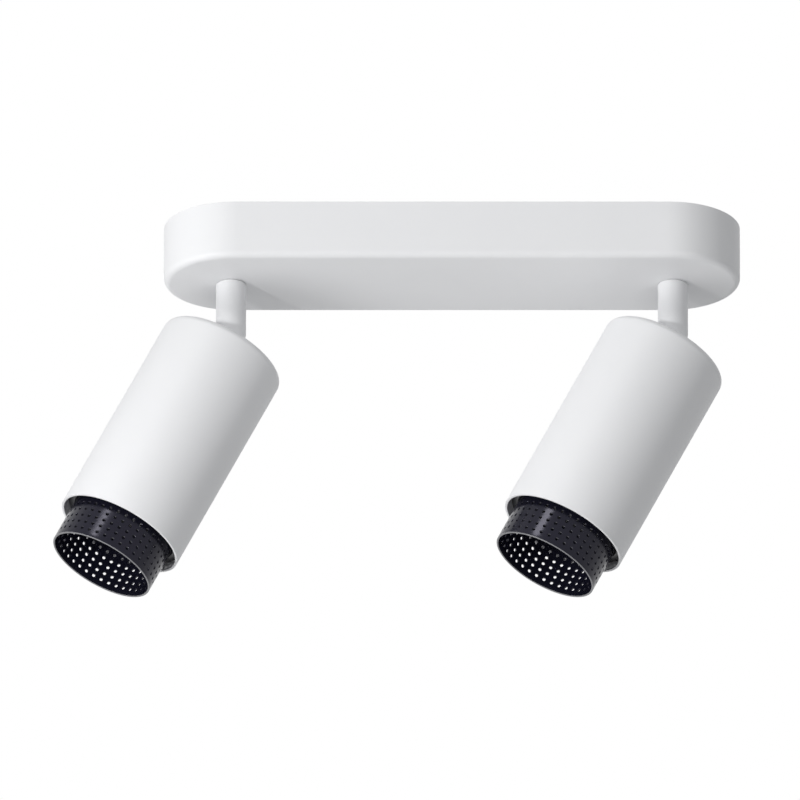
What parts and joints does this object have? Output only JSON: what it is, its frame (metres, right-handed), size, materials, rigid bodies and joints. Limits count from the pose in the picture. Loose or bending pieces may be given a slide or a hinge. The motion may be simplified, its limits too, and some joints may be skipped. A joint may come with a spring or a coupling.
{
  "type": "pivoting spotlight",
  "caption": "Spotlight with cylindrical heads on swivel stems under a shallow stadium-shaped base; perforated sleeves stand out of the mouths.",
  "frame": {"origin": "middle of the mounting plane, on the strap's back face", "axes": "+Z out of the mounting plane into the wall or ceiling, +X along the base's length, -Y the front of the picture; the heads hang towards -Z"},
  "size_m": [0.3415, 0.0735, 0.1962],
  "materials": {
    "white_paint": "fine matt powder coat",
    "black_satin": "satin black with a blue tinge",
    "black_plastic": "satin moulded",
    "zinc_steel": "zinc plated",
    "zinc_screws": "bright zinc",
    "white_screws": "painted",
    "spring_steel": "blued spring steel",
    "block_plastic": "moulded nylon",
    "brass": "machined",
    "tinned_lug": "tinned",
    "brown_lead": "extruded",
    "blue_lead": "extruded",
    "green_lead": "extruded, with a yellow stripe",
    "heatproof_lead": "woven glass sleeve",
    "grey_nylon": "moulded",
    "holder_ceramic": "unglazed",
    "lamp_white": "moulded",
    "lamp_lens": "frosted",
    "grip_rubber": "moulded"
  },
  "bodies": {
    "base": {"base_cover": "white_paint", "mounting_bracket": "zinc_steel", "cover_screws": "white_screws", "terminal_block": "block_plastic", "terminal_inserts": "brass", "terminal_screws": "zinc_screws", "block_screw": "zinc_screws", "earth_screw": "brass", "earth_lug": "tinned_lug", "live_leads": "brown_lead", "earth_leads": "green_lead", "neutral_leads": "blue_lead", "stop_studs": "zinc_screws", "left_friction_washer": "grey_nylon", "right_friction_washer": "grey_nylon"},
    "left_stem": {"left_nipple": "zinc_steel", "left_stop_washer": "zinc_steel", "left_wave_washer": "spring_steel", "left_stem_nut": "zinc_screws", "left_stem": "white_paint", "left_knuckle_screw": "zinc_screws", "left_spring_washer": "spring_steel"},
    "left_head": {"left_knuckle_lower": "white_paint", "left_head_body": "white_paint", "left_toothed_washer": "spring_steel", "left_head_nut": "zinc_screws", "left_lamp_bracket": "zinc_steel", "left_lampholder": "holder_ceramic", "left_holder_screws": "zinc_screws", "left_lamp_housing": "lamp_white", "left_lamp_lens": "lamp_lens", "left_lamp_pins": "brass", "left_head_leads": "heatproof_lead", "left_guide_ring": "black_plastic", "left_grip_ring": "grip_rubber"},
    "left_sleeve": {"left_sleeve": "black_satin"},
    "right_stem": {"right_nipple": "zinc_steel", "right_stop_washer": "zinc_steel", "right_wave_washer": "spring_steel", "right_stem_nut": "zinc_screws", "right_stem": "white_paint", "right_knuckle_screw": "zinc_screws", "right_spring_washer": "spring_steel"},
    "right_head": {"right_knuckle_lower": "white_paint", "right_head_body": "white_paint", "right_toothed_washer": "spring_steel", "right_head_nut": "zinc_screws", "right_lamp_bracket": "zinc_steel", "right_lampholder": "holder_ceramic", "right_holder_screws": "zinc_screws", "right_lamp_housing": "lamp_white", "right_lamp_lens": "lamp_lens", "right_lamp_pins": "brass", "right_head_leads": "heatproof_lead", "right_guide_ring": "black_plastic", "right_grip_ring": "grip_rubber"},
    "right_sleeve": {"right_sleeve": "black_satin"}
  },
  "joints": [
    {"name": "left_turn", "type": "hinge", "parent": "base", "child": "left_stem", "pos_m": [-0.11, 0, -0.045], "axis": [0, 0, 1], "range_deg": [-160, 160]},
    {"name": "left_tilt", "type": "hinge", "parent": "left_stem", "child": "left_head", "pos_m": [-0.11, 0, -0.06], "axis": [-0.1045, 0.9945, 0], "range_deg": [-102.5, 47.5]},
    {"name": "left_sleeve_slide", "type": "slide", "parent": "left_head", "child": "left_sleeve", "axis": [-0.4592, -0.0483, -0.887], "range_m": [0, 0.01]},
    {"name": "right_turn", "type": "hinge", "parent": "base", "child": "right_stem", "pos_m": [0.11, 0, -0.045], "axis": [0, 0, 1], "range_deg": [-160, 160]},
    {"name": "right_tilt", "type": "hinge", "parent": "right_stem", "child": "right_head", "pos_m": [0.11, 0, -0.06], "axis": [-0.1045, 0.9945, 0], "range_deg": [-102.5, 47.5]},
    {"name": "right_sleeve_slide", "type": "slide", "parent": "right_head", "child": "right_sleeve", "axis": [-0.4592, -0.0483, -0.887], "range_m": [0, 0.01]}
  ]
}
